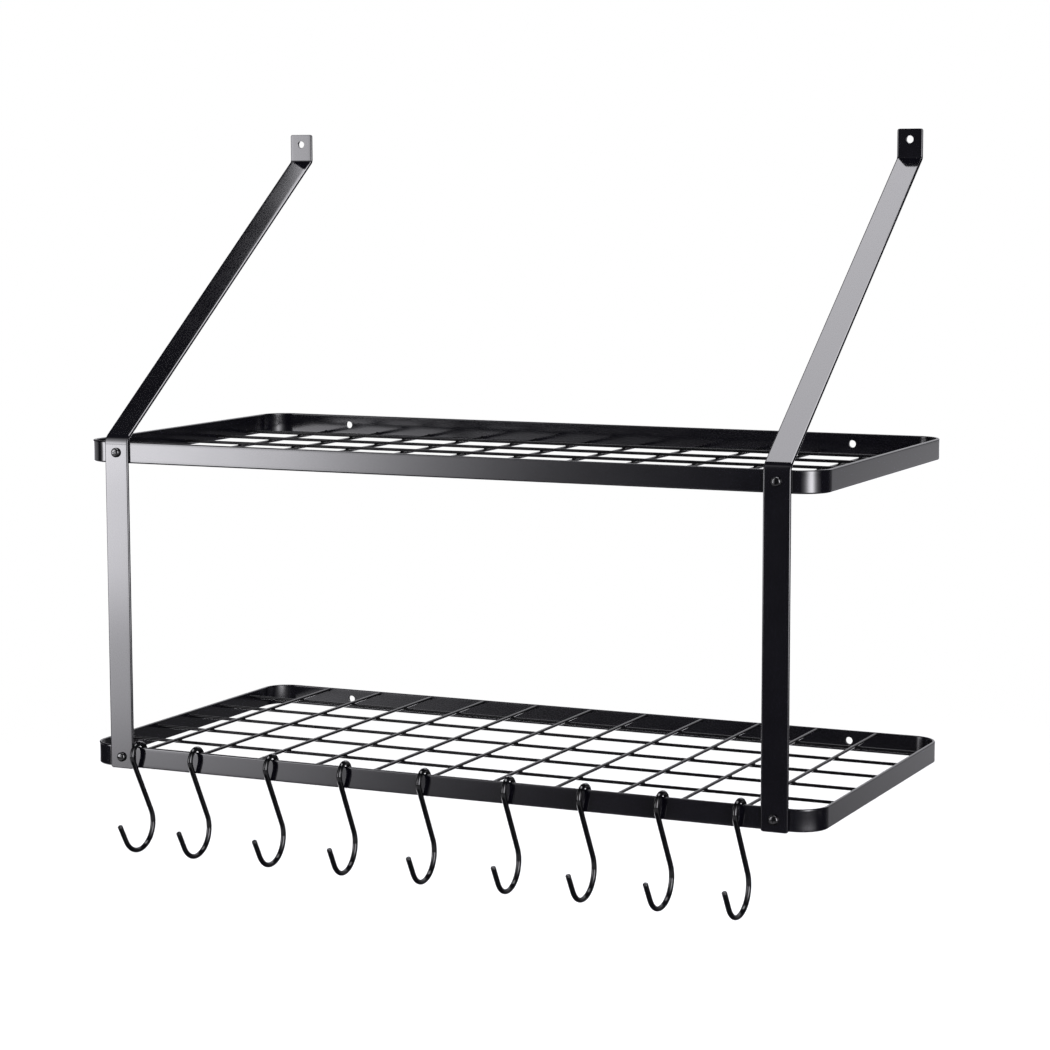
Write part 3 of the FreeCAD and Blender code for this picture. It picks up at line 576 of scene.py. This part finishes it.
# ---------------------------------------------------------------- floor
def floor_piece():
    bm = bmesh.new()
    bmesh.ops.create_circle(bm, cap_ends=True, cap_tris=False, segments=96, radius=3.4)
    me = bpy.data.meshes.new("floor")
    bm.to_mesh(me)
    bm.free()
    obj = bpy.data.objects.new("floor", me)
    obj.location = (0.0, 0.35, -0.80)
    bpy.context.scene.collection.objects.link(obj)
    mat = bpy.data.materials.new("pale_floor")
    mat.use_nodes = True
    nt = mat.node_tree
    nt.nodes.clear()
    out = nt.nodes.new("ShaderNodeOutputMaterial")
    b = nt.nodes.new("ShaderNodeBsdfPrincipled")
    b.inputs["Roughness"].default_value = 0.85
    b.inputs["Specular IOR Level"].default_value = 0.2
    tc = nt.nodes.new("ShaderNodeTexCoord")
    noise = nt.nodes.new("ShaderNodeTexNoise")
    noise.inputs["Scale"].default_value = 3.0
    ramp = nt.nodes.new("ShaderNodeValToRGB")
    ramp.color_ramp.elements[0].color = (0.86, 0.86, 0.86, 1)
    ramp.color_ramp.elements[1].color = (0.90, 0.90, 0.90, 1)
    nt.links.new(tc.outputs["Object"], noise.inputs["Vector"])
    nt.links.new(noise.outputs["Fac"], ramp.inputs["Fac"])
    nt.links.new(ramp.outputs["Color"], b.inputs["Base Color"])
    # the floor runs out softly into the white surround
    dist = nt.nodes.new("ShaderNodeVectorMath")
    dist.operation = "LENGTH"
    nt.links.new(tc.outputs["Object"], dist.inputs[0])
    fade = nt.nodes.new("ShaderNodeMapRange")
    fade.interpolation_type = "SMOOTHSTEP"
    fade.inputs["From Min"].default_value, fade.inputs["From Max"].default_value = 1.0, 3.3
    nt.links.new(dist.outputs["Value"], fade.inputs["Value"])
    clear = nt.nodes.new("ShaderNodeBsdfTransparent")
    mix = nt.nodes.new("ShaderNodeMixShader")
    nt.links.new(fade.outputs["Result"], mix.inputs["Fac"])
    nt.links.new(b.outputs["BSDF"], mix.inputs[1])
    nt.links.new(clear.outputs["BSDF"], mix.inputs[2])
    nt.links.new(mix.outputs["Shader"], out.inputs["Surface"])
    me.materials.append(mat)
    obj.visible_glossy = False
    obj.visible_shadow = False
    return obj


floor_piece()


# ---------------------------------------------------------------- light
TINT = (0.992, 0.981, 1.030)


def softbox(name, at, aim, w, h, radiance, across=None, upright=None):
    """An area light of even radiance, or one whose cloth fades along its width or height by (part of the way, level) steps."""
    light = bpy.data.lights.new(name, "AREA")
    light.shape, light.size, light.size_y = "RECTANGLE", w, h
    light.energy = radiance * math.pi * w * h
    light.color = TINT
    obj = bpy.data.objects.new(name, light)
    obj.location = at
    obj.rotation_euler = (Vector(aim) - Vector(at)).to_track_quat("-Z", "Y").to_euler()
    obj.visible_camera = False
    bpy.context.scene.collection.objects.link(obj)
    if across or upright:
        light.use_nodes = True
        lt = light.node_tree
        emit = next(n for n in lt.nodes if n.type == "EMISSION")
        geo = lt.nodes.new("ShaderNodeNewGeometry")
        split = lt.nodes.new("ShaderNodeSeparateXYZ")
        lt.links.new(geo.outputs["Parametric"], split.inputs["Vector"])
        level = lt.nodes.new("ShaderNodeMath")
        level.operation = "MULTIPLY"
        for k, (steps, way) in enumerate(((across, "X"), (upright, "Y"))):
            ramp = lt.nodes.new("ShaderNodeValToRGB")
            steps = steps or [(0.0, 1.0), (1.0, 1.0)]
            while len(ramp.color_ramp.elements) < len(steps):
                ramp.color_ramp.elements.new(0.5)
            for e, (t, v) in zip(ramp.color_ramp.elements, steps):
                e.position, e.color = t, (v, v, v, 1)
            lt.links.new(split.outputs[way], ramp.inputs["Fac"])
            lt.links.new(ramp.outputs["Color"], level.inputs[k])
        lt.links.new(level.outputs["Value"], emit.inputs["Strength"])
    return obj


def panel(name, across, upright, radiance, away=30.0):
    """A far upright softbox. across holds (bearing, level) steps, 0 in front and positive to the right; upright holds (height, level) steps. Degrees."""
    mid = (0.0, -0.2, 0.0)
    a0, a1 = across[0][0], across[-1][0]
    a = math.radians((a0 + a1) / 2)
    half = math.tan(math.radians((a1 - a0) / 2))
    low, high = (math.tan(math.radians(e)) * away for e in (upright[0][0], upright[-1][0]))
    at = (mid[0] + away * math.sin(a), mid[1] - away * math.cos(a), (low + high) / 2)
    u = [((math.tan(math.radians(b) - a) / half + 1) / 2, v) for b, v in across]
    w = [((math.tan(math.radians(e)) * away - low) / (high - low), v) for e, v in upright]
    return softbox(name, at, (mid[0], mid[1], at[2]), 2 * away * half, high - low, radiance, u, w)


KEY_FALL = [(-34, 1.0), (-32, 0.90), (-30, 0.68), (-28.7, 0.44), (-27.3, 0.245), (-25.9, 0.132), (-24.5, 0.06), (-23, 0.028), (-20, 0.0)]
panel("key", [(-62, 0.0), (-56, 0.06), (-52, 0.16), (-48, 0.62), (-45, 1.0)] + KEY_FALL,
      [(-9.6, 0.0), (-8.7, 0.62), (-7.7, 0.90), (-7.0, 0.99), (-5.75, 0.95), (-5.25, 1.2), (-4.3, 1.2), (-3.8, 0.45), (-1.6, 0.45), (-0.5, 0.86), (2.5, 0.86), (8, 0.95), (16, 0.6), (26, 0.28), (38, 0.12), (50, 0.06), (58, 0.0)], 14.6)
panel("key_low_left", [(-40, 0.0), (-37, 1.0), (-34, 1.0), (-32.2, 0.92), (-31.4, 0.0)],
      [(-16.5, 0.0), (-14.5, 0.08), (-13, 0.20), (-12, 0.24), (-11.4, 0.30), (-10.6, 0.43), (-9.6, 0.52), (-8.7, 0.0)], 14.6)
panel("key_low", [(-32.2, 0.0), (-31.4, 0.83)] + KEY_FALL[2:],
      [(-16.5, 0.0), (-14.5, 0.08), (-13, 0.21), (-12, 0.25), (-11.4, 0.32), (-11.0, 0.34), (-10.6, 0.18), (-9.6, 0.12), (-8.7, 0.0)], 14.6)
panel("right", [(10, 0.0), (17, 0.027), (24, 0.08), (30.6, 0.21), (36, 0.42), (41.6, 0.73), (48.5, 1.0), (55, 1.0), (60, 0.68), (66.6, 0.30), (73, 0.12), (80, 0.045), (92, 0.0)],
      [(-9.5, 0.0), (-8, 0.9), (-6.5, 1.0), (14, 1.0), (24, 0.8), (34, 0.35), (46, 0.1), (58, 0.0)], 18.0)
LOW_FALL = [(-28, 0.0), (-15, 0.03), (-12.6, 0.09), (-11, 0.22), (-9.5, 0.5), (-8, 0.0)]
panel("right_low", [(-4, 0.0), (9.6, 0.11), (23, 0.24), (35.6, 0.54), (48.6, 1.0)], LOW_FALL, 13.4)
panel("right_low_far", [(48.6, 1.0), (60.6, 0.75), (73.6, 0.40), (87.6, 0.075), (100, 0.0)], LOW_FALL, 13.4)
panel("bounce", [(-75, 0.0), (-60, 0.5), (-45, 1.0), (-28, 0.8), (-12, 0.25), (0, 0.0)],
      [(-36, 0.0), (-29, 0.5), (-23, 1.0), (-17, 0.5), (-14, 0.0)], 0.6)
panel("back_right", [(128, 0.0), (140, 0.15), (152, 0.32), (158, 0.45), (161, 0.70), (164, 0.92), (171, 1.0), (176, 0.0)],
      [(-30, 0.2), (-14, 0.62), (-11, 0.86), (-8.5, 0.92), (-6, 1.0), (-4.8, 0.9), (-3.4, 0.0)], 0.80)
softbox("top", (-12.7, 7.2, 30.0), (-12.7, 7.2, 0.0), 10.4, 7.2, 6.3)
softbox("top_right", (3.75, 2.25, 30.0), (3.75, 2.25, 0.0), 22.5, 10.5, 11.0)
panel("back", [(152, 0.0), (160, 1.0), (213, 1.0), (218, 0.0)], [(4, 0.0), (8, 1.0), (20, 1.1), (24, 1.8), (28, 2.4), (37, 2.4), (42, 0.0)], 0.95)
FILL = [(-48, 0.0), (-40, 1.0), (-18.5, 1.0), (-14.5, 0.0)]
panel("fill_right", [(40, 0.0), (50, 1.0), (98, 1.0), (112, 0.0)], FILL, 0.8)
panel("fill_front_left", [(-66, 0.0), (-54, 1.0), (-14, 1.0)], FILL, 0.8)
panel("fill_front_right", [(-14, 1.0), (36, 1.0), (42, 0.0)], FILL, 0.8)
panel("fill_left", [(-140, 0.0), (-125, 1.0), (-78, 1.0), (-65, 0.0)], FILL, 0.8)
panel("fill_back", [(176.5, 0.0), (183, 0.7), (190, 1.0), (240, 1.0), (250, 0.0)], [(-40, 0.0), (-30, 1.0), (-2, 1.0), (2, 0.0)], 2.5)
panel("fill_side", [(-132, 0.0), (-122, 1.0), (-84, 1.0), (-72, 0.0)], [(-9.5, 0.0), (-8, 1.0), (6, 1.0), (10, 0.0)], 0.8)

world = bpy.data.worlds.new("studio")
bpy.context.scene.world = world
world.use_nodes = True
wt = world.node_tree
wt.nodes.clear()
w_out = wt.nodes.new("ShaderNodeOutputWorld")
seen = wt.nodes.new("ShaderNodeBackground")
seen.inputs["Color"].default_value = (1, 1, 1, 1)
seen.inputs["Strength"].default_value = 1.0
room = wt.nodes.new("ShaderNodeBackground")
room.inputs["Strength"].default_value = 1.0
w_tc = wt.nodes.new("ShaderNodeTexCoord")
w_xyz = wt.nodes.new("ShaderNodeSeparateXYZ")
wt.links.new(w_tc.outputs["Generated"], w_xyz.inputs["Vector"])
w_ramp = wt.nodes.new("ShaderNodeValToRGB")
w_map = wt.nodes.new("ShaderNodeMapRange")
w_map.inputs["From Min"].default_value, w_map.inputs["From Max"].default_value = -1.0, 1.0
wt.links.new(w_xyz.outputs["Y"], w_map.inputs["Value"])
wt.links.new(w_map.outputs["Result"], w_ramp.inputs["Fac"])
ramp = w_ramp.color_ramp
ramp.elements[0].position, ramp.elements[0].color = 0.0, (0.10, 0.10, 0.105, 1)
ramp.elements[1].position, ramp.elements[1].color = 0.5, (0.045, 0.045, 0.047, 1)
wt.links.new(w_ramp.outputs["Color"], room.inputs["Color"])
w_path = wt.nodes.new("ShaderNodeLightPath")
w_mix = wt.nodes.new("ShaderNodeMixShader")
wt.links.new(w_path.outputs["Is Camera Ray"], w_mix.inputs["Fac"])
wt.links.new(room.outputs["Background"], w_mix.inputs[1])
wt.links.new(seen.outputs["Background"], w_mix.inputs[2])
wt.links.new(w_mix.outputs["Shader"], w_out.inputs["Surface"])

view = bpy.context.scene.view_settings
view.view_transform = "Standard"
view.look = "None"
view.exposure, view.gamma = 0.0, 1.0


# ---------------------------------------------------------------- camera
AZ, EL, ROLL = math.radians(25.01), math.radians(6.84), math.radians(-0.14)
FOCAL_PX, FRAME_PX = 2856.58, 1050.0
back = Vector((math.sin(AZ) * math.cos(EL), -math.cos(AZ) * math.cos(EL), math.sin(EL)))
right = (-back).cross(Vector((0, 0, 1))).normalized()
down = (-back).cross(right)
x_axis = right * math.cos(ROLL) - down * math.sin(ROLL)
y_axis = -(right * math.sin(ROLL) + down * math.cos(ROLL))
cam = bpy.data.cameras.new("camera")
cam.sensor_fit, cam.sensor_width = "HORIZONTAL", 36.0
cam.lens = FOCAL_PX / FRAME_PX * 36.0
cam.clip_start, cam.clip_end = 0.05, 60.0
camera = bpy.data.objects.new("camera", cam)
m = Matrix((x_axis, y_axis, back)).transposed().to_4x4()
m.translation = (1.13877, -2.59852, 0.39288)
camera.matrix_world = m
bpy.context.scene.collection.objects.link(camera)
bpy.context.scene.camera = camera
